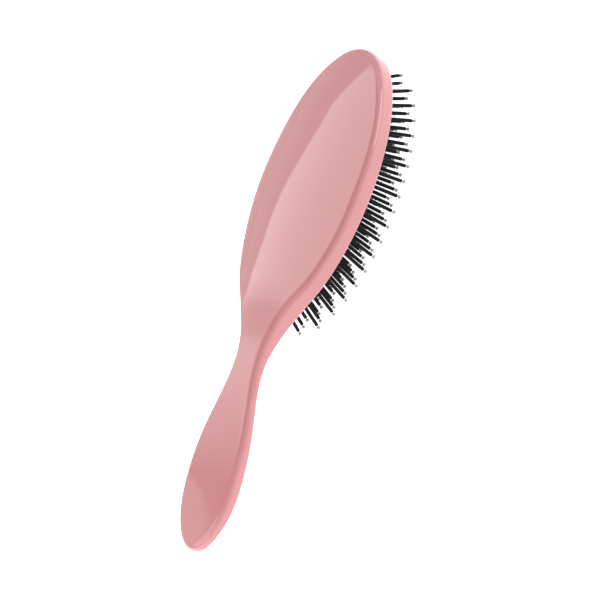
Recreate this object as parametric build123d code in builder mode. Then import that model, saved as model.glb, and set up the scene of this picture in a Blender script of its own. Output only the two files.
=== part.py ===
"""Cushioned detangling brush, lying on its ball-tipped pins with its back up.

X runs across the brush, +Y from the tail of the handle to the tip of the head, +Z up
through the back. The origin is under the middle of the brush, on the surface it rests on.
Lengths are in millimetres.
"""

from build123d import *
import math
import os

os.makedirs("parts", exist_ok=True)

# ---------------------------------------------------------------- driving sizes

# Moulded body, seen from above
overall_length = 227.4
head_width = 69.0
head_length = 126.6
handle_width = 33.2
neck_width = 17.6
neck_from_tail = 84.0
neck_join_angle = -53.0
handle_widest_from_tail = 33.4

# Moulded body, seen from the side: heights over the rim plane
crown_height = 14.0
crown_radius = 102.0
crown_station_spacing = 8.0
tail_back_height = 0.9
handle_back_height = 4.9
neck_back_height = 7.4
flat_back_radius = 150.0
neck_front_rise = 1.7
tail_front_drop = 4.3
front_lead_in = 5.1
back_edge_radius = 3.2
front_edge_radius = 1.2
shell_wall = 2.6
overrun = 6.0

# Oval opening and the groove that holds the bead of the cushion
rim_width = 4.2
groove_depth = 1.6
groove_height = 2.0
groove_over_rim = 2.2
fit_gap = 0.1

# Rubber cushion
cushion_rise = 5.3
cushion_radius_across = 95.0
cushion_radius_along = 340.0
cushion_wall = 1.5
cushion_edge_radius = 0.8

# Pins and their backing
pin_side = 1.25
pin_length = 15.2
pin_hole_gap = 0.1
bead_length = 1.5
bead_diameter = 1.75
bead_end_diameter = 1.0
backing_thickness = 1.3
backing_gap = 0.1
backing_margin = 1.9
strip_gap = 0.3
row_count = 36
row_pitch = 2.98
pin_pitch_across = 8.8
field_width = 52.4
field_length = 105.5
field_from_middle = 0.4
fan_across = 105.0
fan_along = 93.0

# ---------------------------------------------------------------- derived places

rim_z = cushion_rise + pin_length + bead_length
tail_y = -overall_length / 2
head_y = overall_length / 2 - head_length / 2
neck_y = tail_y + neck_from_tail
handle_y = tail_y + handle_widest_from_tail

opening_width = head_width - 2 * rim_width
opening_length = head_length - 2 * rim_width
cushion_width = opening_width - 2 * fit_gap
cushion_length = opening_length - 2 * fit_gap
backing_depth = cushion_wall + backing_gap
groove_z = rim_z + groove_over_rim
field_y = head_y + field_from_middle
above_all = rim_z + 2 * crown_height
below_all = rim_z - 2 * crown_height


# ---------------------------------------------------------------- moulded body


def oval_half_width(width, length, from_middle):
    """Half width of an oval, at a distance along it from its middle."""
    return width / 2 * math.sqrt(max(0.0, 1 - (2 * from_middle / length) ** 2))


def plan_outline():
    """The body seen from above: tail, handle, neck and the oval head."""
    half_handle = handle_width / 2
    half_neck = neck_width / 2
    with BuildSketch() as outline:
        with BuildLine():
            head = EllipticalCenterArc(
                (0, head_y),
                head_width / 2,
                head_length / 2,
                neck_join_angle,
                arc_size=90 - neck_join_angle,
            )
            Spline(
                (0, tail_y),
                (0.73 * half_handle, 0.7 * tail_y + 0.3 * handle_y),
                (half_handle, handle_y),
                (0.9 * half_handle, 0.62 * handle_y + 0.38 * neck_y),
                (half_neck, neck_y),
                tangents=[(1, 0), (0, 1)],
                tangent_scalars=[1, 1],
            )
            Spline(
                (half_neck, neck_y),
                head @ 0,
                tangents=[(0, 1), head % 0],
                tangent_scalars=[1, 1],
            )
            mirror(about=Plane.YZ)
        make_face()
    return outline.sketch


def slope_at(points, index):
    """Slope of a smooth curve at one of its points; it is level where the curve turns."""
    before = points[max(index - 1, 0)]
    here = points[index]
    after = points[min(index + 1, len(points) - 1)]
    slopes = [(b[1] - a[1]) / (b[0] - a[0]) for a, b in ((before, here), (here, after)) if a != b]
    if slopes[0] * slopes[-1] <= 0:
        return 0.0
    return 2 * slopes[0] * slopes[-1] / (slopes[0] + slopes[-1])


def smooth_value(points, place):
    """The value at a place on a smooth curve that never swings past its points."""
    index = max([0] + [i for i, point in enumerate(points[:-1]) if point[0] <= place])
    (start, first), (end, last) = points[index : index + 2]
    length = end - start
    t = (place - start) / length
    rise = slope_at(points, index) * t * (1 - t) ** 2 - slope_at(points, index + 1) * (1 - t) * t**2
    return first * (1 + 2 * t) * (1 - t) ** 2 + last * (3 - 2 * t) * t**2 + length * rise


def back_height(y):
    """Height of the middle of the back over the rim plane, from tail to head tip."""
    reach = head_length / 2
    heights = [
        (tail_y - overrun, 2 * tail_back_height - 0.36 * handle_back_height),
        (tail_y, tail_back_height),
        (handle_y, handle_back_height),
        (neck_y, neck_back_height),
        (head_y - 1.08 * reach, neck_back_height + 0.9),
        (head_y - 0.95 * reach, 0.69 * crown_height),
        (head_y - 0.8 * reach, 0.77 * crown_height),
        (head_y - 0.5 * reach, 0.9 * crown_height),
        (head_y, crown_height),
        (head_y + 0.58 * reach, 0.86 * crown_height),
        (head_y + 1.1 * reach, 0.49 * crown_height),
    ]
    return smooth_value(heights, y)


def back_radius(y):
    """Radius of the back across the brush: nearly flat on the handle, crowned on the head."""
    reach = head_length / 2
    radii = [
        (neck_y, flat_back_radius),
        (head_y - 1.08 * reach, flat_back_radius),
        (head_y - 0.95 * reach, 0.9 * crown_radius),
        (head_y - 0.75 * reach, 0.84 * crown_radius),
        (head_y, crown_radius),
        (head_y + reach, crown_radius),
    ]
    return smooth_value(radii, min(max(y, neck_y), head_y + reach))


def crown_block(drop, start=tail_y - overrun):
    """Everything under the crowned back, or under a surface that lies drop below it."""
    span = 0.57 * head_width
    end = head_y + 0.55 * head_length
    count = round((end - start) / crown_station_spacing) + 1
    with BuildPart() as block:
        for index in range(count):
            y = start + (end - start) * index / (count - 1)
            radius = back_radius(y)
            top = rim_z + back_height(y) - drop
            shoulder = top - radius + math.sqrt(radius**2 - span**2)
            with BuildSketch(Plane.XZ.offset(-y)):
                with BuildLine():
                    ThreePointArc((-span, shoulder), (0, top), (span, shoulder))
                    Polyline(
                        (span, shoulder),
                        (span, below_all),
                        (-span, below_all),
                        (-span, shoulder),
                    )
                make_face()
        loft()
    return block.part


def below_front():
    """The space under the front of the brush, which bows gently along the handle."""
    with BuildPart() as space:
        with BuildSketch(Plane.YZ):
            with BuildLine():
                front = Spline(
                    (tail_y - overrun, rim_z - 1.1 * tail_front_drop),
                    (handle_y, rim_z - tail_front_drop / 2),
                    (neck_y, rim_z + neck_front_rise),
                    (head_y - head_length / 2 + front_lead_in, rim_z),
                    tangents=[(1, 0.02), (1, 0)],
                )
                Polyline(
                    front @ 1,
                    (overall_length, rim_z),
                    (overall_length, below_all),
                    (tail_y - overrun, below_all),
                    front @ 0,
                )
            make_face()
        extrude(amount=head_width, both=True)
    return space.part


def oval_block(width, length, bottom, top):
    """An upright block with the oval plan of the head."""
    with BuildPart() as block:
        with BuildSketch(Plane.XY.offset(bottom)):
            with Locations((0, head_y)):
                Ellipse(width / 2, length / 2)
        extrude(amount=top - bottom)
    return block.part


def chamber():
    """The opening, the air chamber behind it and the groove round it, as one solid."""
    with BuildPart() as space:
        add(oval_block(opening_width, opening_length, rim_z - 1, above_all))
        add(crown_block(shell_wall, start=neck_y), mode=Mode.INTERSECT)
        add(
            oval_block(
                opening_width + 2 * groove_depth,
                opening_length + 2 * groove_depth,
                groove_z,
                groove_z + groove_height,
            )
        )
    return space.part


with BuildPart() as handle_body:
    with BuildSketch(Plane.XY.offset(below_all)):
        add(plan_outline())
    extrude(amount=above_all - below_all)
    add(crown_block(0), mode=Mode.INTERSECT)
    add(below_front(), mode=Mode.SUBTRACT)
    back = handle_body.faces().sort_by(Axis.Z)[-1]
    fillet(back.edges(), back_edge_radius)
    front_faces = handle_body.faces().filter_by(lambda face: face.normal_at().Z < -0.9)
    front_edges = [
        edge for face in front_faces for edge in face.edges() if abs(edge.center().X) > 1
    ]
    fillet(front_edges, front_edge_radius)
    add(chamber(), mode=Mode.SUBTRACT)
handle_body.part.label = "handle_body"
export_step(handle_body.part, "parts/handle_body.step")


# ---------------------------------------------------------------- pins


def dome_height(x, from_middle):
    """Height of the outer face of the cushion over the floor."""
    along = cushion_radius_along - math.sqrt(cushion_radius_along**2 - from_middle**2)
    radius = cushion_radius_across - along
    across = radius - math.sqrt(radius**2 - x**2)
    return rim_z - cushion_rise + along + across


def row_from_middle(row):
    """Distance of a row from the middle of the head; rows count from 1 at the neck end."""
    return field_from_middle + (row - (row_count + 1) / 2) * row_pitch


def row_places(row):
    """Evenly spaced pins of one row, from one side of the oval field to the other."""
    from_middle = row_from_middle(row)
    half = oval_half_width(field_width, field_length, from_middle - field_from_middle)
    if row % 2:
        half -= pin_pitch_across / 2
    if half < pin_side:
        return [(0.0, from_middle)]
    count = max(2, round(2 * half / pin_pitch_across) + 1)
    step = 2 * half / (count - 1)
    return [(index * step - half, from_middle) for index in range(count)]


def pin_plane(x, from_middle, out):
    """A plane across a pin, at a distance out from the face of the cushion."""
    direction = Vector(x / fan_across, from_middle / fan_along, -1).normalized()
    foot = Vector(x, head_y + from_middle, dome_height(x, from_middle))
    return Plane(foot + direction * out, x_dir=(0, 1, 0), z_dir=direction)


def pin_planes(rows, out):
    """The planes across every pin of some rows."""
    return [pin_plane(x, y, out) for row in rows for x, y in row_places(row)]


def strip_rows(strip):
    """The two neighbouring rows of one strip of backing; strips count from 1."""
    return [row for row in (2 * strip - 1, 2 * strip) if row <= row_count]


all_rows = range(1, row_count + 1)
strips = range(1, (row_count + 1) // 2 + 1)
pin_root = backing_depth + backing_thickness / 2


# ---------------------------------------------------------------- cushion


def dome_block(depth):
    """Everything behind a surface that lies depth inside the face of the cushion."""
    half = 0.55 * head_length
    along = cushion_radius_along - depth
    across = cushion_radius_across - depth
    end = across - along + math.sqrt(along**2 - half**2)
    axis_z = rim_z - cushion_rise + cushion_radius_across
    with BuildPart() as block:
        with BuildSketch(Plane.YZ):
            with BuildLine():
                ThreePointArc(
                    (head_y - half, axis_z + end),
                    (head_y, axis_z + across),
                    (head_y + half, axis_z + end),
                )
                Polyline(
                    (head_y + half, axis_z + end),
                    (head_y + half, axis_z),
                    (head_y - half, axis_z),
                    (head_y - half, axis_z + end),
                )
            make_face()
        revolve(axis=Axis((0, head_y, axis_z), (0, 1, 0)))
    return block.part


with BuildPart() as hollow:
    hollow_width = cushion_width - 2 * cushion_wall
    hollow_length = cushion_length - 2 * cushion_wall
    add(oval_block(hollow_width, hollow_length, 0, above_all))
    add(dome_block(cushion_wall), mode=Mode.INTERSECT)

with BuildPart() as cushion:
    add(oval_block(cushion_width, cushion_length, 0, groove_z + groove_height - fit_gap))
    add(dome_block(0), mode=Mode.INTERSECT)
    crown_edge = cushion.faces().sort_by(Axis.Z)[0].edges()
    fillet(crown_edge, cushion_edge_radius)
    add(
        oval_block(
            cushion_width + 2 * groove_depth,
            cushion_length + 2 * groove_depth,
            groove_z + fit_gap,
            groove_z + groove_height - fit_gap,
        )
    )
    add(hollow.part, mode=Mode.SUBTRACT)
    with BuildSketch(*pin_planes(all_rows, -2 * cushion_wall)):
        Rectangle(pin_side + 2 * pin_hole_gap, pin_side + 2 * pin_hole_gap)
    extrude(amount=4 * cushion_wall, mode=Mode.SUBTRACT)
cushion.part.label = "cushion"
export_step(cushion.part, "parts/cushion.step")


# ---------------------------------------------------------------- backing strips with pins

for strip in strips:
    rows = strip_rows(strip)
    low = head_y + row_from_middle(rows[0] - 0.5) + strip_gap / 2
    high = head_y + row_from_middle(rows[-1] + 0.5) - strip_gap / 2
    with BuildPart() as pin_row:
        with BuildSketch(Plane.XY):
            with Locations((0, field_y)):
                Ellipse(field_width / 2 + backing_margin, field_length / 2 + backing_margin)
            with Locations((0, (low + high) / 2)):
                Rectangle(head_width, high - low, mode=Mode.INTERSECT)
        extrude(amount=above_all)
        add(dome_block(backing_depth), mode=Mode.INTERSECT)
        add(dome_block(backing_depth + backing_thickness), mode=Mode.SUBTRACT)
        with BuildSketch(*pin_planes(rows, -pin_root)):
            Rectangle(pin_side, pin_side)
        extrude(amount=pin_root + pin_length)
    name = f"pin_row_{strip:02d}"
    pin_row.part.label = name
    export_step(pin_row.part, f"parts/{name}.step")


# ---------------------------------------------------------------- ball tips

with BuildPart() as bead:
    with BuildSketch():
        RegularPolygon(bead_diameter / 2, 6)
    extrude(amount=bead_length)
    bead_ends = bead.faces().filter_by(Axis.Z)
    chamfer(
        [edge for face in bead_ends for edge in face.edges()],
        (bead_diameter - bead_end_diameter) / 2,
        0.3 * bead_length,
    )

for strip in strips:
    with BuildPart() as ball_tips:
        with Locations(*pin_planes(strip_rows(strip), pin_length)):
            add(bead.part)
    name = f"ball_tips_row_{strip:02d}"
    ball_tips.part.label = name
    export_step(ball_tips.part, f"parts/{name}.step")

pin_count = sum(len(row_places(row)) for row in all_rows)
print(f"{pin_count} pins in {row_count} rows; rim plane at {rim_z:.2f}")
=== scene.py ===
# %% [markdown]
# A cushioned detangling brush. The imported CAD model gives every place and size, and this
# script dresses it: a gloss moulded body, a domed rubber cushion, nylon pins with ball
# tips, and a small studio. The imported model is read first, because every new piece is
# measured against it and moves with its bodies.

# %% Load the frame
import math

import bmesh
import bpy
from mathutils import Matrix, Vector


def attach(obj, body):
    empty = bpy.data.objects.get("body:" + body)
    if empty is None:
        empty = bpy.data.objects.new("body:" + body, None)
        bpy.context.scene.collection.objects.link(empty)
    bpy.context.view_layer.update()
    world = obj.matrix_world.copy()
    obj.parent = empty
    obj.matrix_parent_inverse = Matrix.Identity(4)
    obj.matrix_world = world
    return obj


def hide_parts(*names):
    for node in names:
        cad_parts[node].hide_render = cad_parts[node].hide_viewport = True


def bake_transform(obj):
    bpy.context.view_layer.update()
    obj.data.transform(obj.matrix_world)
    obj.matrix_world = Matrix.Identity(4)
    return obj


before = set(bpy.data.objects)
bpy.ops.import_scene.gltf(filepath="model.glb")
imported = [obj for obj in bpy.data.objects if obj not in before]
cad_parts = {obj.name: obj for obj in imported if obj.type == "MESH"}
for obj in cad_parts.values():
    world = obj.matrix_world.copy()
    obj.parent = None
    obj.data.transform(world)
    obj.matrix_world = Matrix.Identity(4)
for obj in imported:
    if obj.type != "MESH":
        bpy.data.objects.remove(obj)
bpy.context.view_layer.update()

# %% [markdown]
# The pins, the cushion and the backing all follow a few lengths of the real brush. They
# are kept together here, in millimetres as on a drawing, and turned to metres where a
# mesh is made.

# %% Lengths of the brush
MM = 0.001
TAIL_END = -113.7
HANDLE_WIDEST = -80.3
NECK = -29.7
HEAD_MIDDLE = 50.4
HEAD_WIDTH = 69.0
HEAD_LENGTH = 126.6
HEAD_REACH = HEAD_LENGTH / 2
RIM_HEIGHT = 22.0
RIM_WIDTH = 4.2
CUSHION_RISE = 5.3
CUSHION_RADIUS_ACROSS = 95.0
CUSHION_RADIUS_ALONG = 340.0
CUSHION_WIDTH = 60.4
CUSHION_LENGTH = 118.0
CUSHION_WALL = 1.5
CUSHION_EDGE_REACH = 3.4
CUSHION_EDGE_RADIUS = 0.9
print("head from", HEAD_MIDDLE - HEAD_REACH, "to", HEAD_MIDDLE + HEAD_REACH, "mm")

# %% [markdown]
# The pins stand in straight rows across an oval field, and every second row starts half a
# pin pitch further in, so that the rows are staggered. They lean outward like a fan. On
# the real brush a machine sets the pins into a flat rubber sheet, and they fan out when
# the sheet is domed. Here a formula gives each pin its place, so that the pins, the
# collars round them and the beads all agree.

# %% Places of the pins
PIN_LENGTH = 15.2
BEAD_LENGTH = 1.5
BEAD_WIDTH = 1.75
ROW_COUNT = 36
ROW_PITCH = 2.98
PIN_PITCH = 8.8
FIELD_WIDTH = 52.4
FIELD_LENGTH = 105.5
FIELD_FROM_MIDDLE = 0.4
FAN_ACROSS = 105.0
FAN_ALONG = 93.0
BACKING_DEPTH = 1.6
BACKING_THICKNESS = 1.3
BACKING_MARGIN = 1.9
STRIP_GAP = 0.3
LONE_PIN_HALF = 1.25


def dome_height(x, from_middle, depth=0.0):
    """Height of the cushion's face, or of a surface that lies depth inside it."""
    along = CUSHION_RADIUS_ALONG - math.sqrt(CUSHION_RADIUS_ALONG**2 - from_middle**2)
    radius = CUSHION_RADIUS_ACROSS - along
    across = radius - math.sqrt(radius**2 - x**2)
    return RIM_HEIGHT - CUSHION_RISE + along + across + depth


def row_from_middle(row):
    """Distance of a row from the middle of the head; rows count from 1 at the neck end."""
    return FIELD_FROM_MIDDLE + (row - (ROW_COUNT + 1) / 2) * ROW_PITCH


def pins_in_row(row):
    """Evenly spaced pins of one row, from one side of the oval field to the other."""
    from_middle = row_from_middle(row)
    along = 2 * (from_middle - FIELD_FROM_MIDDLE) / FIELD_LENGTH
    half = FIELD_WIDTH / 2 * math.sqrt(max(0.0, 1 - along**2))
    if row % 2:
        half -= PIN_PITCH / 2
    if half < LONE_PIN_HALF:
        return [(0.0, from_middle)]
    count = max(2, round(2 * half / PIN_PITCH) + 1)
    step = 2 * half / (count - 1)
    return [(number * step - half, from_middle) for number in range(count)]


def rows_of_strip(strip):
    """The two neighbouring rows of one strip of backing; strips count from 1."""
    return [row for row in (2 * strip - 1, 2 * strip) if row <= ROW_COUNT]


def pin_frame(x, from_middle):
    """Where a pin leaves the cushion, with its own Z pointing out along the pin."""
    out = Vector((x / FAN_ACROSS, from_middle / FAN_ALONG, -1)).normalized()
    side = out.cross(Vector((0, 1, 0))).normalized()
    turn = Matrix((side, out.cross(side), out)).transposed().to_4x4()
    foot = Vector((x, HEAD_MIDDLE + from_middle, dome_height(x, from_middle)))
    return Matrix.Translation(foot * MM) @ turn


strips = range(1, ROW_COUNT // 2 + 1)
pin_total = sum(len(pins_in_row(row)) for row in range(1, ROW_COUNT + 1))
print(pin_total, "pins in", len(strips), "strips")

# %% [markdown]
# Blender's operators act on whatever is selected, so each modelling step starts with
# nothing selected. These helpers do that, and bake a piece's place into its mesh when it
# is done, as a piece of this frame keeps its object at the origin.


# %% Modelling helpers
SAME_POINT = 1e-6


def only(piece):
    """Selects one piece alone and makes it the active one."""
    bpy.ops.object.select_all(action="DESELECT")
    piece.select_set(True)
    bpy.context.view_layer.objects.active = piece


def apply_modifier(piece, kind, **settings):
    """Adds one modifier to a piece and applies it at once."""
    only(piece)
    modifier = piece.modifiers.new(kind.title(), kind)
    for name, value in settings.items():
        setattr(modifier, name, value)
    bpy.ops.object.modifier_apply(modifier=modifier.name)


def settle(piece, angle=35):
    """Bakes the place of a piece into its mesh and smooths it, except at sharp edges."""
    only(piece)
    bpy.ops.object.transform_apply(location=True, rotation=True, scale=True)
    bpy.ops.object.shade_smooth_by_angle(angle=math.radians(angle))


def face_outward(piece):
    """Merges doubled points and turns every face of a closed piece outward."""
    only(piece)
    bpy.ops.object.mode_set(mode="EDIT")
    bpy.ops.mesh.select_all(action="SELECT")
    bpy.ops.mesh.remove_doubles(threshold=SAME_POINT)
    bpy.ops.mesh.normals_make_consistent(inside=False)
    bpy.ops.object.mode_set(mode="OBJECT")


def copy_at(model, place):
    """A copy of a model with its own mesh, put at a place."""
    twin = model.copy()
    twin.data = model.data.copy()
    bpy.context.scene.collection.objects.link(twin)
    twin.matrix_world = place
    return twin


def join(pieces, name):
    """Joins pieces into the first of them, under a new name."""
    bpy.ops.object.select_all(action="DESELECT")
    for piece in pieces:
        piece.select_set(True)
    bpy.context.view_layer.objects.active = pieces[0]
    bpy.ops.object.join()
    pieces[0].name = name
    pieces[0].data.name = name
    return pieces[0]


def step_out(distance, scale):
    """Extrudes what is selected along Z and scales the new end across."""
    bpy.ops.mesh.extrude_region_move(TRANSFORM_OT_translate={"value": (0, 0, distance * MM)})
    bpy.ops.transform.resize(value=(scale, scale, 1))


print("helpers ready")

# %% [markdown]
# Materials are built as small graphs of nodes. The helper class lets a graph be written
# as plain arithmetic, so that a line such as `0.3 + 0.1 * grain` adds its own Math nodes.


# %% Material helpers
class Wire:
    """One socket of a material's graph, which adds Math nodes when it is calculated with."""

    def __init__(self, graph, socket):
        self.graph = graph
        self.socket = socket

    def math(self, operation, first, second):
        return self.graph.node("ShaderNodeMath", {"operation": operation}, {0: first, 1: second})

    def __add__(self, other):
        return self.math("ADD", self, other)

    def __radd__(self, other):
        return self.math("ADD", other, self)

    def __sub__(self, other):
        return self.math("SUBTRACT", self, other)

    def __rsub__(self, other):
        return self.math("SUBTRACT", other, self)

    def __mul__(self, other):
        return self.math("MULTIPLY", self, other)

    def __rmul__(self, other):
        return self.math("MULTIPLY", other, self)


class Finish:
    """A material and the one way that nodes are added to it."""

    def __init__(self, name, **constants):
        self.material = bpy.data.materials.new(name)
        self.material.use_nodes = True
        self.tree = self.material.node_tree
        self.shader = self.tree.nodes["Principled BSDF"]
        for socket, value in constants.items():
            self.shader.inputs[socket.replace("_", " ")].default_value = value

    def node(self, kind, settings=None, values=None, output=0):
        """Adds a node: its settings first, then the values or wires of its sockets."""
        added = self.tree.nodes.new(kind)
        for name, value in (settings or {}).items():
            if name == "stops":
                set_stops(added.color_ramp, value)
            else:
                setattr(added, name, value)
        for key, value in (values or {}).items():
            self.feed(added.inputs[key], value)
        return Wire(self, added.outputs[output])

    def feed(self, socket, value):
        """Gives a socket a wire or a value."""
        if isinstance(value, Wire):
            self.tree.links.new(value.socket, socket)
        else:
            socket.default_value = value

    def shade(self, **inputs):
        """Feeds sockets of the surface shader."""
        for name, value in inputs.items():
            self.feed(self.shader.inputs[name.replace("_", " ")], value)

    def position(self):
        """The place on the piece, in metres."""
        return self.node("ShaderNodeTexCoord", output="Object")

    def noise(self, position, scale, detail):
        """Cloudy noise from 0 to 1; scale is in waves per metre."""
        return self.node(
            "ShaderNodeTexNoise", {}, {"Vector": position, "Scale": scale, "Detail": detail}
        )

    def blend(self, amount, first, second):
        """Mixes two colours by an amount from 0 to 1."""
        mixed = self.node("ShaderNodeMix", {"data_type": "RGBA"}, {0: amount}, output=2)
        for socket, value in zip((6, 7), (first, second)):
            self.feed(mixed.socket.node.inputs[socket], value)
        return mixed

    def clamp(self, amount):
        """An amount kept from 0 to 1."""
        return self.node("ShaderNodeClamp", {}, {"Value": amount})

    def bump(self, height, distance, strength):
        """Turns a height map into a surface normal; distance is in metres."""
        return self.node(
            "ShaderNodeBump", {}, {"Height": height, "Distance": distance, "Strength": strength}
        )


def set_stops(ramp, stops):
    """Sets the stops of a colour ramp from pairs of position and colour."""
    while len(ramp.elements) < len(stops):
        ramp.elements.new(1.0)
    for element, (position, colour) in zip(ramp.elements, stops):
        element.position = position
        element.color = colour


print("material helpers ready")

# %% [markdown]
# The body of the brush is one gloss moulding in dusty pink. Injection-moulded plastic is
# never perfectly even: the pink drifts a little from place to place, the polish is a
# touch duller where it is handled, and the surface has a very faint ripple that shows
# only in reflections.

# %% Gloss pink plastic
gloss = Finish(
    "gloss_pink_plastic",
    IOR=1.5,
    Subsurface_Weight=0.0,
    Coat_Roughness=0.03,
)
where = gloss.position()
drift = gloss.noise(where, scale=22.0, detail=3.0)
speckle = gloss.noise(where, scale=1900.0, detail=1.0)
pink = gloss.blend(drift, (0.384, 0.152, 0.160, 1), (0.400, 0.160, 0.168, 1))
polish = gloss.noise(where, scale=60.0, detail=4.0)
ripple = gloss.noise(where, scale=140.0, detail=1.0)
gloss.shade(
    Base_Color=pink,
    Roughness=0.05 + 0.05 * polish + 0.01 * speckle,
    Normal=gloss.bump(ripple, distance=0.00002, strength=0.25),
)
print(gloss.material.name)

# %% [markdown]
# The cushion is matt black natural rubber. Moulded rubber takes the fine grain of its
# mould, so a small bump breaks up its shine, and it greys a little in soft patches where
# talc or dust stays on it.

# %% Black rubber
rubber = Finish("matt_black_rubber", IOR=1.45)
where = rubber.position()
grain = rubber.noise(where, scale=1500.0, detail=3.0)
cloud = rubber.noise(where, scale=90.0, detail=3.0)
rubber.shade(
    Base_Color=rubber.blend(cloud, (0.011, 0.012, 0.011, 1), (0.020, 0.021, 0.020, 1)),
    Roughness=0.5 + 0.18 * cloud,
    Normal=rubber.bump(grain, distance=0.00004, strength=0.5),
)
print(rubber.material.name)

# %% [markdown]
# The pins are drawn nylon, dyed black through and through. Their sheen is weak, as the
# pins stand close together and the room hardly reaches in between them. A fine streak
# keeps neighbouring pins from looking the same.

# %% Black nylon
nylon = Finish("black_nylon", IOR=1.4, Specular_IOR_Level=0.08)
where = nylon.position()
streak = nylon.noise(where, scale=700.0, detail=2.0)
nylon.shade(
    Base_Color=nylon.blend(streak, (0.003, 0.004, 0.004, 1), (0.007, 0.009, 0.008, 1)),
    Roughness=0.28 + 0.12 * streak,
)
print(nylon.material.name)

# %% [markdown]
# The ball tips are drops of pale resin that harden on the ends of the pins, so that they
# glide over the scalp. They look almost white against the dark pins and faintly grey
# against white paper, which asks for a middle grey with little shine.

# %% Pale bead
bead_finish = Finish("pale_bead", IOR=1.5, Specular_IOR_Level=0.1)
where = bead_finish.position()
cloud = bead_finish.noise(where, scale=900.0, detail=2.0)
bead_finish.shade(
    Base_Color=bead_finish.blend(cloud, (0.33, 0.355, 0.32, 1), (0.38, 0.405, 0.37, 1)),
    Roughness=0.22 + 0.1 * cloud,
)
print(bead_finish.material.name)

# %% [markdown]
# The moulding is one smooth body: a flat handle that swells into a crowned oval head.
# Its gloss shows every ripple, so it is drawn as a net of even rings. First come three
# curves: the outline seen from above, the height of the back, and the bow of the front.
# The outline is a chain of cubic curves from the tail to the head. The two heights are
# counted from the rim at places along the brush, and a smooth curve runs through them.

# %% Curves of the body
OUTLINE = [
    ((0, -113.7), (5.241, -113.7), (9.451, -108.73), (12.118, -103.68)),
    ((12.118, -103.68), (16.156, -96.035), (16.657, -88.209), (16.6, -80.3)),
    ((16.6, -80.3), (16.554, -73.888), (16.141, -67.422), (14.94, -61.072)),
    ((14.94, -61.072), (12.951, -50.554), (8.8, -40.356), (8.8, -29.7)),
    ((8.8, -29.7), (8.8, -19.075), (14.536, -8.763), (20.763, -0.154)),
]
FRONT = [(-119.7, -4.73), (-104.6, -4.1), (-93.2, -3.36), (-81.8, -2.31), (-64.8, -0.26)]
FRONT += [(-53.4, 1.02), (-42, 1.82), (-36.3, 1.92), (-30.6, 1.76), (-19.2, 0.69), (-7.8, 0)]
BACK = [
    (TAIL_END - 6, -0.1),
    (TAIL_END, 0.65),
    (-96, 2.88),
    (HANDLE_WIDEST, 4.78),
    (-70, 5.55),
    (NECK, 7.4),
    (-15.5, 8.45),
    (-10.5, 9.5),
    (-0.5, 10.72),
    (HEAD_MIDDLE - 0.5 * HEAD_REACH, 12.6),
    (HEAD_MIDDLE, 14.0),
    (HEAD_MIDDLE + 0.58 * HEAD_REACH, 12.04),
    (HEAD_MIDDLE + 1.1 * HEAD_REACH, 6.86),
]
BACK_RADIUS = [
    (NECK, 150.0),
    (HEAD_MIDDLE - 1.08 * HEAD_REACH, 150.0),
    (HEAD_MIDDLE - 0.95 * HEAD_REACH, 91.8),
    (HEAD_MIDDLE - 0.75 * HEAD_REACH, 85.7),
    (HEAD_MIDDLE, 102.0),
    (HEAD_MIDDLE + HEAD_REACH, 102.0),
]
EVENING = (-6, -4, -2, 0, 2, 4, 6)


def slope_at(points, index):
    """Slope of a smooth curve at one of its points; it is level where the curve turns."""
    before = points[max(index - 1, 0)]
    here = points[index]
    after = points[min(index + 1, len(points) - 1)]
    pairs = ((before, here), (here, after))
    slopes = [(b[1] - a[1]) / (b[0] - a[0]) for a, b in pairs if a != b]
    if slopes[0] * slopes[-1] <= 0:
        return 0.0
    return 2 * slopes[0] * slopes[-1] / (slopes[0] + slopes[-1])


def on_curve(points, place):
    """The value at a place on a smooth curve that never swings past its points."""
    place = min(max(place, points[0][0]), points[-1][0])
    index = max([0] + [i for i, point in enumerate(points[:-1]) if point[0] <= place])
    (start, first), (end, last) = points[index : index + 2]
    length = end - start
    t = (place - start) / length
    leaving = slope_at(points, index) * t * (1 - t) ** 2
    arriving = slope_at(points, index + 1) * (1 - t) * t**2
    level = first * (1 + 2 * t) * (1 - t) ** 2 + last * (3 - 2 * t) * t**2
    return level + length * (leaving - arriving)


def evened(points, place):
    """The curve's value evened out over a few millimetres, so that reflections flow."""
    return sum(on_curve(points, place + shift) for shift in EVENING) / len(EVENING)


def back_at(x, y):
    """Height of the crowned back over a place, before its edge is rounded."""
    radius = evened(BACK_RADIUS, y)
    return RIM_HEIGHT + evened(BACK, y) - radius + math.sqrt(radius**2 - x**2)


def front_at(y):
    """Height of the front face of the moulding, which is flat round the cushion."""
    return RIM_HEIGHT + on_curve(FRONT, y)


print("back at the middle of the head:", round(back_at(0, HEAD_MIDDLE), 2), "mm")

# %% [markdown]
# The outline is walked once round the brush. Each of its points also gets an inner
# partner: a point of the oval opening on the head, and a point of the middle line on the
# handle. The front face is stretched between the two.

# %% Outline and its inner partners
STEPS_PER_CURVE = 14
STEPS_ROUND_HEAD = 90
STEPS_TO_JOIN = 9
TAIL_MARGIN = 3
NECK_JOIN = math.radians(-53)
OPENING_WIDTH = HEAD_WIDTH - 2 * RIM_WIDTH
OPENING_LENGTH = HEAD_LENGTH - 2 * RIM_WIDTH


def on_bezier(corners, t):
    """A point of a cubic curve from its four corners."""
    weights = ((1 - t) ** 3, 3 * t * (1 - t) ** 2, 3 * t**2 * (1 - t), t**3)
    return sum((w * Vector(corner) for w, corner in zip(weights, corners)), Vector((0, 0)))


def on_oval(width, length, angle):
    """A point of an oval round the middle of the head."""
    return Vector((width / 2 * math.cos(angle), HEAD_MIDDLE + length / 2 * math.sin(angle)))


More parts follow.
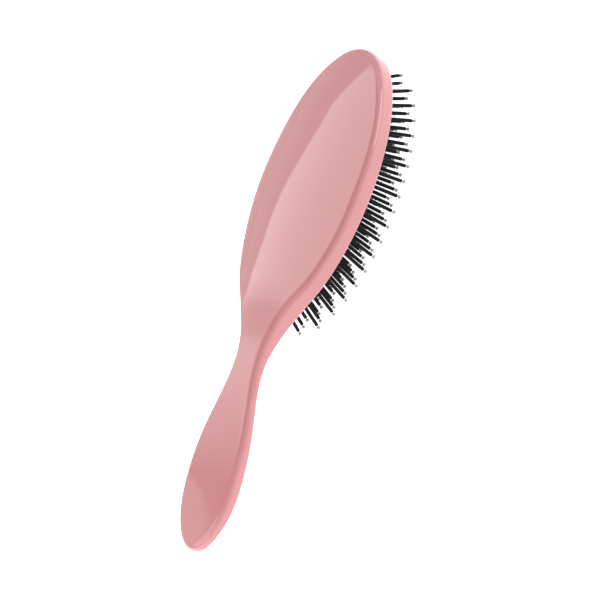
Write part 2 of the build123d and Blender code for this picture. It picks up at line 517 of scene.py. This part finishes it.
half_outline = []
for corners in OUTLINE:
    for step in range(STEPS_PER_CURVE):
        half_outline.append(on_bezier(corners, step / STEPS_PER_CURVE))
joined = len(half_outline)
for step in range(STEPS_ROUND_HEAD + 1):
    angle = NECK_JOIN + (math.pi / 2 - NECK_JOIN) * step / STEPS_ROUND_HEAD
    half_outline.append(on_oval(HEAD_WIDTH, HEAD_LENGTH, angle))

half_inner = []
oval_start = joined - STEPS_TO_JOIN
opening_end = HEAD_MIDDLE - OPENING_LENGTH / 2
for index, point in enumerate(half_outline):
    if index < oval_start:
        share = (point.y - TAIL_END) / (half_outline[oval_start].y - TAIL_END)
        middle_line = opening_end - TAIL_END - TAIL_MARGIN
        half_inner.append(Vector((0, TAIL_END + TAIL_MARGIN + share * middle_line)))
    elif index < joined:
        share = (index - oval_start) / (joined - oval_start)
        angle = -math.pi / 2 + share * (NECK_JOIN + math.pi / 2)
        half_inner.append(on_oval(OPENING_WIDTH, OPENING_LENGTH, angle))
    else:
        angle = NECK_JOIN + (math.pi / 2 - NECK_JOIN) * (index - joined) / STEPS_ROUND_HEAD
        half_inner.append(on_oval(OPENING_WIDTH, OPENING_LENGTH, angle))


def whole(half):
    """A whole ring from its right half, from the tail round the tip and back."""
    return half + [Vector((-point.x, point.y)) for point in reversed(half[1:-1])]


outline = whole(half_outline)
inner = whole(half_inner)
inward = []
for index in range(len(outline)):
    run = (outline[(index + 1) % len(outline)] - outline[index - 1]).normalized()
    inward.append(Vector((-run.y, run.x)))
print(len(outline), "points round the outline")

# %% [markdown]
# A mould can't have knife edges, so the back meets the side in a generous round and the
# front in a small one. Each ring below follows the whole outline at one stage of the way
# from the rim, up the wall, over the rounded edge and across the back. The rounds are
# arcs that meet the sloping back without a kink, since a kink would show in the gloss.

# %% Rings of the body
BACK_EDGE_RADIUS = 3.2
FRONT_EDGE_RADIUS = 1.2
NUDGE = 0.05


def lean_of_back(point, outward):
    """How steeply the back falls toward the edge, as an angle."""
    ahead = back_at(*(point + NUDGE * outward))
    behind = back_at(*(point - NUDGE * outward))
    return math.atan((behind - ahead) / (2 * NUDGE))


def back_edge_ring(share):
    """A ring of the rounded edge of the back, from its wall at 0 to the back at 1."""
    ring = []
    for point, into in zip(outline, inward):
        middle = point + BACK_EDGE_RADIUS * into
        lean = lean_of_back(middle, -into)
        turn = share * (math.pi / 2 - lean)
        height = back_at(*middle) - BACK_EDGE_RADIUS / math.cos(lean)
        spot = middle - BACK_EDGE_RADIUS * math.cos(turn) * into
        ring.append((*spot, height + BACK_EDGE_RADIUS * math.sin(turn)))
    return ring


def front_edge_ring(share):
    """A ring of the rounded edge of the front, from its wall at 0 to the front at 1."""
    ring = []
    for point, into in zip(outline, inward):
        turn = share * math.pi / 2
        spot = point + FRONT_EDGE_RADIUS * (1 - math.cos(turn)) * into
        height = front_at(spot.y) + FRONT_EDGE_RADIUS * (1 - math.sin(turn))
        ring.append((*spot, height))
    return ring


def back_ring(share):
    """A ring of the back, from its rounded edge at 0 to the middle line at 1."""
    places = [(x * (1 - share), y) for x, y, z in back_edge_ring(1)]
    return [(x, y, back_at(x, y)) for x, y in places]


def front_ring(share):
    """A ring of the front face, from its rounded edge at 0 to the inner partners at 1."""
    ring = []
    for start, end in zip(front_edge_ring(1), inner):
        spot = Vector(start[:2]).lerp(end, share)
        ring.append((*spot, front_at(spot.y)))
    return ring


for name, ring in (("front", front_edge_ring(0)), ("back", back_edge_ring(0))):
    print(name, "end of the wall at the tip:", round(ring[len(half_outline) - 1][2], 1), "mm")

# %% [markdown]
# The net is pulled ring by ring: the ring in hand is extruded, and each new point is put
# at its own place. A number kept on every point says which spot of the ring it is, and an
# extrusion passes it on. A loft could make the same form, but here every ring is known,
# so the faces stay even and the reflections run clean.

# %% Pull the rings
WALL_STEPS = 4
BACK_EDGE_STEPS = 10
BACK_STEPS = 22
FRONT_EDGE_STEPS = 5
FRONT_STEPS = 5
HARDLY_APART = 1e-7


def start_ring(name, places):
    """A new piece that starts as one ring of points."""
    bpy.ops.object.select_all(action="DESELECT")
    bpy.ops.mesh.primitive_circle_add(vertices=len(places), radius=1)
    piece = bpy.context.object
    piece.name = name
    piece.data.name = name
    spots = piece.data.attributes.new("spot", "INT", "POINT")
    for vertex, place in zip(piece.data.vertices, places):
        vertex.co = Vector(place) * MM
        spots.data[vertex.index].value = vertex.index
    bpy.ops.object.mode_set(mode="EDIT")
    bpy.ops.mesh.select_mode(type="EDGE")
    bpy.ops.mesh.select_all(action="SELECT")
    return piece


def pull_ring(piece, places):
    """Extrudes the ring in hand and puts each new point at its own place."""
    bpy.ops.mesh.extrude_region_move()
    net = bmesh.from_edit_mesh(piece.data)
    spot = net.verts.layers.int["spot"]
    for vertex in net.verts:
        if vertex.select:
            vertex.co = Vector(places[vertex[spot]]) * MM
    bmesh.update_edit_mesh(piece.data)


def take_ring(piece, places):
    """Takes a ring that is already there in hand again, by its places."""
    bpy.ops.mesh.select_mode(type="VERT")
    bpy.ops.mesh.select_all(action="DESELECT")
    net = bmesh.from_edit_mesh(piece.data)
    spot = net.verts.layers.int["spot"]
    for vertex in net.verts:
        place = Vector(places[vertex[spot]]) * MM
        vertex.select = (vertex.co - place).length < HARDLY_APART
    net.select_flush(True)
    bmesh.update_edit_mesh(piece.data)
    bpy.ops.mesh.select_mode(type="EDGE")


shell = start_ring("moulded_body", front_edge_ring(0))
wall = list(zip(front_edge_ring(0), back_edge_ring(0)))
for step in range(1, WALL_STEPS):
    pull_ring(shell, [Vector(low).lerp(Vector(high), step / WALL_STEPS) for low, high in wall])
for step in range(BACK_EDGE_STEPS + 1):
    pull_ring(shell, back_edge_ring(step / BACK_EDGE_STEPS))
for step in range(1, BACK_STEPS + 1):
    pull_ring(shell, back_ring(step / BACK_STEPS))
take_ring(shell, front_edge_ring(0))
for step in range(1, FRONT_EDGE_STEPS + 1):
    pull_ring(shell, front_edge_ring(step / FRONT_EDGE_STEPS))
for step in range(1, FRONT_STEPS + 1):
    pull_ring(shell, front_ring(step / FRONT_STEPS))
bpy.ops.object.mode_set(mode="OBJECT")
print(shell.name, len(shell.data.polygons), "faces before its chamber")

# %% [markdown]
# Behind the cushion the real body is hollow: the oval opening has a groove that grips the
# edge of the cushion, and an air space behind it that follows the crown of the back. The
# last front ring lies on the opening, so its points are merged where they meet and the
# same net is pulled on inward. That keeps the body one closed piece.

# %% Opening, groove and air chamber
SHELL_WALL = 2.6
GROOVE_OVER_RIM = 2.2
GROOVE_HEIGHT = 2.0
GROOVE_DEPTH = 1.6
CHAMBER_STEPS = 8
bpy.ops.object.mode_set(mode="EDIT")
bpy.ops.mesh.select_all(action="SELECT")
bpy.ops.mesh.remove_doubles(threshold=2 * SAME_POINT)
bpy.ops.mesh.select_mode(type="EDGE")
bpy.ops.mesh.select_all(action="DESELECT")
bpy.ops.mesh.select_non_manifold()


def opening_ring(height, wider=0.0):
    """A ring of the opening at a height, made wider by a distance."""
    ring = []
    for point in inner:
        angle = math.atan2((point.y - HEAD_MIDDLE) / OPENING_LENGTH, point.x / OPENING_WIDTH)
        spot = on_oval(OPENING_WIDTH + 2 * wider, OPENING_LENGTH + 2 * wider, angle)
        ring.append((*spot, height))
    return ring


groove_low = RIM_HEIGHT + GROOVE_OVER_RIM
groove_high = groove_low + GROOVE_HEIGHT
pull_ring(shell, opening_ring(groove_low))
pull_ring(shell, opening_ring(groove_low, GROOVE_DEPTH))
pull_ring(shell, opening_ring(groove_high, GROOVE_DEPTH))
pull_ring(shell, opening_ring(groove_high))
for step in range(CHAMBER_STEPS + 1):
    ring = []
    for x, y, z in opening_ring(0):
        x *= 1 - step / CHAMBER_STEPS
        ring.append((x, y, max(back_at(x, y) - SHELL_WALL, groove_high)))
    pull_ring(shell, ring)
bpy.ops.object.mode_set(mode="OBJECT")
shell.data.attributes.remove(shell.data.attributes["spot"])
face_outward(shell)
settle(shell, angle=50)
shell.data.materials.clear()
shell.data.materials.append(gloss.material)
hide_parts("handle_body")
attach(shell, "handle")
box = [round(length / MM, 1) for length in shell.dimensions]
print(shell.name, len(shell.data.polygons), "faces, box", box)

# %% [markdown]
# The cushion is a thin rubber dome, moulded in one piece. It is drawn as an oval edge that
# is carried inward ring by ring and then lifted to the dome. The backing that holds the
# heads of the pins is the same dome a little deeper, so both come from one function.

# %% Oval dome
RINGS = 14


def oval_dome(width, length, depth, points, from_middle=0.0):
    """An open oval sheet, curved like the cushion, that lies depth inside its face."""
    bpy.ops.object.select_all(action="DESELECT")
    bpy.ops.mesh.primitive_circle_add(
        vertices=points, radius=1, location=(0, (HEAD_MIDDLE + from_middle) * MM, 0)
    )
    sheet = bpy.context.object
    sheet.scale = (width / 2 * MM, length / 2 * MM, 1)
    bpy.ops.object.transform_apply(location=False, rotation=False, scale=True)
    bpy.ops.object.mode_set(mode="EDIT")
    bpy.ops.mesh.select_all(action="SELECT")
    for ring in range(RINGS, 1, -1):
        bpy.ops.mesh.extrude_region_move()
        step = (ring - 1) / ring
        bpy.ops.transform.resize(value=(step, step, 1))
    bpy.ops.mesh.edge_face_add()
    bpy.ops.mesh.poke()
    bpy.ops.object.mode_set(mode="OBJECT")
    bpy.ops.object.transform_apply(location=True, rotation=False, scale=False)
    for vertex in sheet.data.vertices:
        x, y = vertex.co.x / MM, vertex.co.y / MM - HEAD_MIDDLE
        vertex.co.z = dome_height(x, y, depth) * MM
    return sheet


cushion = oval_dome(CUSHION_WIDTH, CUSHION_LENGTH, depth=0.0, points=160)
print("dome", len(cushion.data.polygons), "faces")

# %% [markdown]
# At its edge the rubber turns up into the groove of the body, which holds it without
# glue. The edge is pulled up from the rim of the dome and its corner is rounded, and then
# the sheet gets its thickness on the inner side, so that the outside keeps its size.

# %% Edge and wall of the cushion
only(cushion)
bpy.ops.object.mode_set(mode="EDIT")
bpy.ops.mesh.select_mode(type="EDGE")
bpy.ops.mesh.select_all(action="DESELECT")
bpy.ops.mesh.select_non_manifold()
bpy.ops.mesh.extrude_region_move()
sheet = bmesh.from_edit_mesh(cushion.data)
for vertex in sheet.verts:
    if vertex.select:
        vertex.co.z = (RIM_HEIGHT + CUSHION_EDGE_REACH) * MM
bmesh.update_edit_mesh(cushion.data)
bpy.ops.object.mode_set(mode="OBJECT")
face_outward(cushion)
apply_modifier(
    cushion,
    "BEVEL",
    width=CUSHION_EDGE_RADIUS * MM,
    segments=4,
    limit_method="ANGLE",
    angle_limit=math.radians(50),
)
apply_modifier(cushion, "SOLIDIFY", thickness=CUSHION_WALL * MM, offset=-1)
print("cushion", len(cushion.data.polygons), "faces")

# %% [markdown]
# Where a pin comes through, the rubber stands up round it in a low collar. One collar is
# modelled and copied to every pin. The edge of the cushion stays in the body while its
# middle sinks.

# %% Collars round the pins
COLLAR_RADIUS = 1.45
COLLAR_ROOT = 0.35
bpy.ops.object.select_all(action="DESELECT")
bpy.ops.mesh.primitive_circle_add(vertices=10, radius=COLLAR_RADIUS * MM, fill_type="NGON")
collar = bpy.context.object
bpy.ops.object.mode_set(mode="EDIT")
bpy.ops.transform.translate(value=(0, 0, -COLLAR_ROOT * MM))
step_out(0.45, 0.82)
step_out(0.25, 0.80)
bpy.ops.object.mode_set(mode="OBJECT")
face_outward(collar)
collars = []
for row in range(1, ROW_COUNT + 1):
    for x, from_middle in pins_in_row(row):
        collars.append(copy_at(collar, pin_frame(x, from_middle)))
join(collars, "collars")
settle(collars[0])
cushion = join([cushion, collars[0]], "rubber_cushion")
bpy.data.objects.remove(collar)
settle(cushion, angle=40)
cushion.data.materials.clear()
cushion.data.materials.append(rubber.material)
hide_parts("cushion")
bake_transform(cushion)
print(cushion.name, len(cushion.data.polygons), "faces")

# %% [markdown]
# A pin is a short length of nylon, a touch thinner toward its end, with a bead of resin
# on it. Both are modelled once, standing on the cushion's face with Z along the pin, and
# the pin's root runs down into the backing. Eight sides are enough for so thin a piece.
# As it stands, the pin stops half a millimetre short of its bead, which the real one
# doesn't: with PIN_STOPS_SHORT at 0 the two would meet.

# %% One pin and one bead
PIN_RADIUS = 0.88
PIN_ROOT = BACKING_DEPTH + 0.4
PIN_FOOT = 1.0
PIN_TIP = 0.4
PIN_STOPS_SHORT = 0.5
bpy.ops.object.select_all(action="DESELECT")
bpy.ops.mesh.primitive_circle_add(vertices=8, radius=PIN_RADIUS * MM, fill_type="NGON")
pin = bpy.context.object
bpy.ops.object.mode_set(mode="EDIT")
bpy.ops.transform.translate(value=(0, 0, -PIN_ROOT * MM))
step_out(PIN_ROOT, 1.0)
step_out(PIN_FOOT, 0.97)
step_out(PIN_LENGTH - PIN_FOOT - PIN_TIP - PIN_STOPS_SHORT, 0.95)
step_out(PIN_TIP, 0.9)
bpy.ops.object.mode_set(mode="OBJECT")
face_outward(pin)
settle(pin, angle=40)
bpy.ops.object.select_all(action="DESELECT")
bpy.ops.mesh.primitive_uv_sphere_add(segments=10, ring_count=6, radius=BEAD_WIDTH / 2 * MM)
bead = bpy.context.object
bead.scale = (1, 1, BEAD_LENGTH / BEAD_WIDTH)
bead.location = (0, 0, (PIN_LENGTH + BEAD_LENGTH / 2) * MM)
settle(bead, angle=80)
print("pin", len(pin.data.polygons), "faces, bead", len(bead.data.polygons), "faces")

# %% [markdown]
# Inside the brush the heads of the pins rest in a backing behind the rubber. The CAD model
# cuts it into strips that carry two rows each, so the scene does the same: the dome is
# cut at both sides of a strip, the pins of its rows are joined to it, and their beads
# make a second piece, as they are of another material.

# %% Backing, pins and beads of each strip
backing = oval_dome(
    FIELD_WIDTH + 2 * BACKING_MARGIN,
    FIELD_LENGTH + 2 * BACKING_MARGIN,
    depth=BACKING_DEPTH,
    points=64,
    from_middle=FIELD_FROM_MIDDLE,
)
face_outward(backing)
apply_modifier(backing, "SOLIDIFY", thickness=BACKING_THICKNESS * MM, offset=-1)


def strip_of_backing(strip):
    """The part of the backing that carries the rows of one strip."""
    rows = rows_of_strip(strip)
    low = HEAD_MIDDLE + row_from_middle(rows[0] - 0.5) + STRIP_GAP / 2
    high = HEAD_MIDDLE + row_from_middle(rows[-1] + 0.5) - STRIP_GAP / 2
    part = copy_at(backing, Matrix.Identity(4))
    only(part)
    bpy.ops.object.mode_set(mode="EDIT")
    for place, side in ((low, -1), (high, 1)):
        bpy.ops.mesh.select_all(action="SELECT")
        bpy.ops.mesh.bisect(
            plane_co=(0, place * MM, 0),
            plane_no=(0, side, 0),
            use_fill=True,
            clear_outer=True,
        )
    bpy.ops.object.mode_set(mode="OBJECT")
    return part


for strip in strips:
    places = [pin_frame(*spot) for row in rows_of_strip(strip) for spot in pins_in_row(row)]
    number = f"{strip:02d}"
    pins = join(
        [strip_of_backing(strip)] + [copy_at(pin, place) for place in places],
        f"nylon_pins_{number}",
    )
    beads = join([copy_at(bead, place) for place in places], f"bead_tips_{number}")
    for piece, finish, node, slot_name in (
        (pins, nylon, "pin_row_", "pin_nylon"),
        (beads, bead_finish, "ball_tips_row_", "ball_tip"),
    ):
        settle(piece, angle=40 if piece == pins else 80)
        piece.data.materials.clear()
        piece.data.materials.append(finish.material)
        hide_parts(node + number)
        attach(piece, "pin_field")
for model in (pin, bead, backing):
    bpy.data.objects.remove(model)
print("pins and beads in place")

# %% [markdown]
# The brush lies on a sheet of white paper. The paper glows a little, as a sheet on a lit
# table does, so that it stays white to its edges and the brush throws hardly any shadow.

# %% Studio floor
bpy.ops.object.select_all(action="DESELECT")
bpy.ops.mesh.primitive_plane_add(size=6, location=(0, 0, 0))
floor = bpy.context.object
floor.name = "studio_floor"
paper = Finish(
    "pale_paper",
    Base_Color=(0.9, 0.9, 0.9, 1),
    Roughness=0.9,
    Emission_Color=(1, 1, 1, 1),
    Emission_Strength=1.15,
)
floor.data.materials.append(paper.material)
print(floor.name, "laid")

# %% [markdown]
# The room is darkest overhead and palest near the horizon, which gives the rounded edge
# of the back its dark line and its lighter side. Its dark part leans toward the camera,
# so that the rounding seen from there is darker than the far side of the back.

# %% Room
ROOM_STRENGTH = 2.0


def outward(azimuth, elevation):
    """A direction from its azimuth, counted from +X, and its elevation."""
    a, e = math.radians(azimuth), math.radians(elevation)
    return Vector((math.cos(a) * math.cos(e), math.sin(a) * math.cos(e), math.sin(e)))


scene = bpy.context.scene
scene.view_settings.view_transform = "Standard"
world = bpy.data.worlds.new("studio")
world.use_nodes = True
room = world.node_tree
direction = room.nodes.new("ShaderNodeTexCoord")
height = room.nodes.new("ShaderNodeVectorMath")
height.operation = "DOT_PRODUCT"
height.inputs[1].default_value = outward(-20, 80)
shades = room.nodes.new("ShaderNodeValToRGB")
greys = ((0.0, 0.45), (0.25, 0.62), (0.5, 0.78), (0.64, 0.72), (0.73, 0.4), (0.85, 0.14))
set_stops(shades.color_ramp, [(place, (grey, grey, grey, 1)) for place, grey in greys])
room.links.new(direction.outputs["Generated"], height.inputs[0])
room.links.new(height.outputs["Value"], shades.inputs["Fac"])
room.links.new(shades.outputs["Color"], room.nodes["Background"].inputs["Color"])
room.nodes["Background"].inputs["Strength"].default_value = ROOM_STRENGTH
scene.world = world
print("room", [round(stop.position, 2) for stop in shades.color_ramp.elements])

# %% [markdown]
# One large softbox stands on the far side of the brush, and its mirror image is the broad
# light field on the back. It has a crisp lower edge. Its side toward the tail fades out,
# so the light ends softly on the tail. Below that edge the panel is as grey as the room,
# so that its unlit part can't be seen in the gloss. Two small lamps help it: a low one
# for the side of the head and one behind the tail.

# %% Softboxes
AIM = Vector((0, 0.03, 0.03))
PANEL_DISTANCE = 0.5
PANEL_SHIFT = -0.125
EDGE_SHARPNESS = 96


def softbox(name, aim, azimuth, elevation, distance, width, height, power):
    """An area light at a distance from what it faces."""
    lamp = bpy.data.lights.new(name, "AREA")
    lamp.shape = "RECTANGLE"
    lamp.size = width
    lamp.size_y = height
    lamp.energy = power
    light = bpy.data.objects.new(name, lamp)
    scene.collection.objects.link(light)
    out = outward(azimuth, elevation)
    light.location = aim + out * distance
    light.rotation_mode = "QUATERNION"
    light.rotation_quaternion = (-out).to_track_quat("-Z", "Y")


glow = Finish(
    "softbox_panel",
    Base_Color=(0, 0, 0, 1),
    Specular_IOR_Level=0.0,
    Emission_Strength=3.5,
)
where = glow.position()
split = {"Vector": where}
sideways = glow.node("ShaderNodeSeparateXYZ", {}, split, output="X") * (1 / PANEL_DISTANCE)
upward = glow.node("ShaderNodeSeparateXYZ", {}, split, output="Y") * (1 / PANEL_DISTANCE)
corner = glow.clamp(-0.3 - sideways)
over_edge = upward + 0.477 + 0.487 * sideways - 3.0 * corner * corner
low_edge = glow.clamp(over_edge * EDGE_SHARPNESS)
fading = (
    (0.2, (1.0, 1.0, 0.96, 1)),
    (0.228, (0.76, 0.76, 0.74, 1)),
    (0.255, (0.56, 0.56, 0.55, 1)),
    (0.29, (0.47, 0.47, 0.47, 1)),
    (0.33, (0.37, 0.37, 0.37, 1)),
    (0.41, (0.15, 0.15, 0.15, 1)),
)
below = (
    (0.3, (0.33, 0.33, 0.33, 1)),
    (0.41, (0.15, 0.15, 0.15, 1)),
)
to_the_tail = sideways + 0.177 * upward
toward_tail = glow.node("ShaderNodeValToRGB", {"stops": fading}, {"Fac": to_the_tail})
as_the_room = glow.node("ShaderNodeValToRGB", {"stops": below}, {"Fac": to_the_tail})
glow.shade(Emission_Color=glow.blend(low_edge, as_the_room, toward_tail))
bpy.ops.object.select_all(action="DESELECT")
bpy.ops.mesh.primitive_plane_add(size=1, location=(0, PANEL_SHIFT, 0))
panel = bpy.context.object
panel.name = "far_softbox"
panel.scale = (0.5, 0.72, 1.0)
bpy.ops.object.transform_apply(location=True, rotation=False, scale=True)
panel_side = outward(160, 55)
panel.location = AIM + PANEL_DISTANCE * panel_side
panel.rotation_mode = "QUATERNION"
panel.rotation_quaternion = (-panel_side).to_track_quat("-Z", "Y")
panel.data.materials.append(glow.material)
panel.visible_camera = False
softbox(
    "low_strip", AIM, azimuth=48, elevation=8, distance=1.2, width=0.7, height=0.3, power=4
)
softbox(
    "tail_light",
    Vector((0, -0.08, 0.02)),
    azimuth=-88,
    elevation=45,
    distance=0.3,
    width=0.3,
    height=0.3,
    power=0.65,
)

# %% [markdown]
# The photograph was taken from above and a little to one side, with a long lens that
# hardly shows any perspective, and then turned so that the brush leans in the picture.
# The angles below were found by laying the brush's outline over the photographed one.
# A long way off and a very long lens give the same flat perspective here.

# %% Camera
CAMERA_TURN = math.radians(53.17)
CAMERA_TILT = math.radians(12.10)
CAMERA_ROLL = math.radians(1.749)
LEAN_SINE = 0.31793
LEAN_COSINE = 0.94811
CAMERA_DISTANCE = 3
CAMERA_LENS = 427.2
toward = Vector(
    (
        math.sin(CAMERA_TURN) * math.cos(CAMERA_TILT),
        -math.sin(CAMERA_TILT),
        math.cos(CAMERA_TURN) * math.cos(CAMERA_TILT),
    )
)
across = Vector((math.cos(CAMERA_TURN), 0, -math.sin(CAMERA_TURN)))
along = toward.cross(across)
wide = across * math.cos(CAMERA_ROLL) + along * math.sin(CAMERA_ROLL)
tall = along * math.cos(CAMERA_ROLL) - across * math.sin(CAMERA_ROLL)
right = LEAN_SINE * tall + LEAN_COSINE * wide
up = LEAN_COSINE * tall - LEAN_SINE * wide
target = Vector((0, -0.0007, 0.025)) + (2.51 * tall + 9.83 * wide) * MM
place = Matrix.Translation(target + CAMERA_DISTANCE * toward)
lens = bpy.data.cameras.new("camera")
lens.lens = CAMERA_LENS
lens.clip_start = 0.1
lens.clip_end = 30
camera = bpy.data.objects.new("camera", lens)
scene.collection.objects.link(camera)
camera.matrix_world = place @ Matrix((right, up, toward)).transposed().to_4x4()
scene.camera = camera
print("camera at", [round(n, 3) for n in camera.location])
